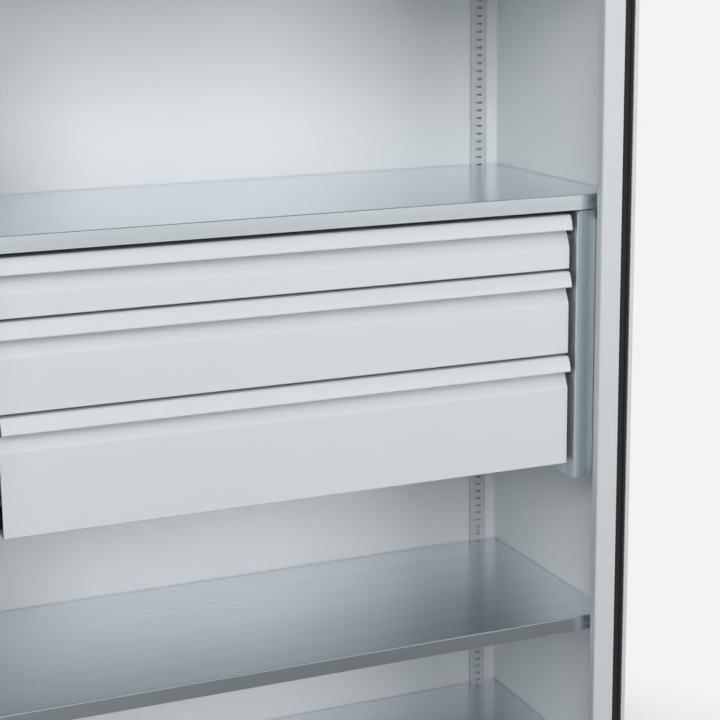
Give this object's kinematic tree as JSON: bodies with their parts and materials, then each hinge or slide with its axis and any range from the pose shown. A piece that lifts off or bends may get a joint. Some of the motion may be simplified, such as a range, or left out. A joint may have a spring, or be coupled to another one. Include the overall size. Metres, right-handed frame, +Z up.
{
  "type": "heavy-duty drawer cabinet",
  "caption": "Tall open-fronted steel storage cabinet with slotted rails, lift-out shelves and a hung block of wide drawers with full-width rolled handles.",
  "frame": {"origin": "on the ground under the middle of the carcass: bottom centre of the bounding box", "axes": "+X to the right seen from the front, +Y into the cabinet (the drawers pull out along -Y), +Z up"},
  "size_m": [1.2, 0.5, 1.95],
  "materials": {
    "carcass_paint": "satin light grey powder coat, fine orange peel",
    "frame_paint": "satin light grey powder coat",
    "front_paint": "satin light grey powder coat",
    "tray_paint": "satin light grey powder coat",
    "galvanised_shelf": "zinc-coated sheet, semi-gloss, fine rolling grain",
    "galvanised_housing": "zinc-coated sheet, semi-gloss, fine rolling grain",
    "galvanised_bracket": "zinc-coated sheet, satin",
    "slide_zinc": "bright zinc plating",
    "zinc_fasteners": "bright zinc plating",
    "seal_rubber": "matt black extruded rubber",
    "cap_plastic": "matt dark grey moulded plastic",
    "foot_plastic": "matt black moulded plastic"
  },
  "bodies": {
    "root": {"back_panel": "carcass_paint", "base_panel": "carcass_paint", "ceiling_panel": "carcass_paint", "front_post_left": "frame_paint", "front_post_right": "frame_paint", "header_rail": "frame_paint", "housing_brackets": "galvanised_bracket", "housing_side_left": "galvanised_housing", "housing_side_right": "galvanised_housing", "housing_ties": "galvanised_bracket", "levelling_feet": "foot_plastic", "lower_slide_fixed_left": "slide_zinc", "lower_slide_fixed_right": "slide_zinc", "middle_slide_fixed_left": "slide_zinc", "middle_slide_fixed_right": "slide_zinc", "rear_rail_left": "frame_paint", "rear_rail_right": "frame_paint", "seal_strip_left": "seal_rubber", "seal_strip_right": "seal_rubber", "shelf_bottom": "galvanised_shelf", "shelf_clips": "galvanised_bracket", "shelf_lower": "galvanised_shelf", "shelf_middle": "galvanised_shelf", "shelf_upper": "galvanised_shelf", "side_liner_left": "carcass_paint", "side_liner_right": "carcass_paint", "side_skin_left": "carcass_paint", "side_skin_right": "carcass_paint", "sill_rail": "frame_paint", "slide_screws": "zinc_fasteners", "top_panel": "carcass_paint", "upper_slide_fixed_left": "slide_zinc", "upper_slide_fixed_right": "slide_zinc"},
    "upper_drawer": {"upper_drawer_front": "front_paint", "upper_drawer_tray": "tray_paint", "upper_front_rivets": "zinc_fasteners", "upper_handle_caps": "cap_plastic", "upper_slide_inner_left": "slide_zinc", "upper_slide_inner_right": "slide_zinc", "upper_tray_screws": "zinc_fasteners"},
    "upper_slide_members": {"upper_slide_middle_left": "slide_zinc", "upper_slide_middle_right": "slide_zinc"},
    "middle_drawer": {"middle_drawer_front": "front_paint", "middle_drawer_tray": "tray_paint", "middle_front_rivets": "zinc_fasteners", "middle_handle_caps": "cap_plastic", "middle_slide_inner_left": "slide_zinc", "middle_slide_inner_right": "slide_zinc", "middle_tray_screws": "zinc_fasteners"},
    "middle_slide_members": {"middle_slide_middle_left": "slide_zinc", "middle_slide_middle_right": "slide_zinc"},
    "lower_drawer": {"lower_drawer_front": "front_paint", "lower_drawer_tray": "tray_paint", "lower_front_rivets": "zinc_fasteners", "lower_handle_caps": "cap_plastic", "lower_slide_inner_left": "slide_zinc", "lower_slide_inner_right": "slide_zinc", "lower_tray_screws": "zinc_fasteners"},
    "lower_slide_members": {"lower_slide_middle_left": "slide_zinc", "lower_slide_middle_right": "slide_zinc"}
  },
  "joints": [
    {"name": "upper_drawer_travel", "type": "slide", "parent": "root", "child": "upper_drawer", "axis": [0, -1, 0], "range_m": [0, 0.4]},
    {"name": "upper_slide_extension", "type": "slide", "parent": "root", "child": "upper_slide_members", "axis": [0, -1, 0], "range_m": [0, 0.2]},
    {"name": "middle_drawer_travel", "type": "slide", "parent": "root", "child": "middle_drawer", "axis": [0, -1, 0], "range_m": [0, 0.4]},
    {"name": "middle_slide_extension", "type": "slide", "parent": "root", "child": "middle_slide_members", "axis": [0, -1, 0], "range_m": [0, 0.2]},
    {"name": "lower_drawer_travel", "type": "slide", "parent": "root", "child": "lower_drawer", "axis": [0, -1, 0], "range_m": [0, 0.4]},
    {"name": "lower_slide_extension", "type": "slide", "parent": "root", "child": "lower_slide_members", "axis": [0, -1, 0], "range_m": [0, 0.2]}
  ],
  "couplings": [
    {"joint": "upper_slide_extension", "follows": "upper_drawer_travel", "ratio": 0.5},
    {"joint": "middle_slide_extension", "follows": "middle_drawer_travel", "ratio": 0.5},
    {"joint": "lower_slide_extension", "follows": "lower_drawer_travel", "ratio": 0.5}
  ]
}
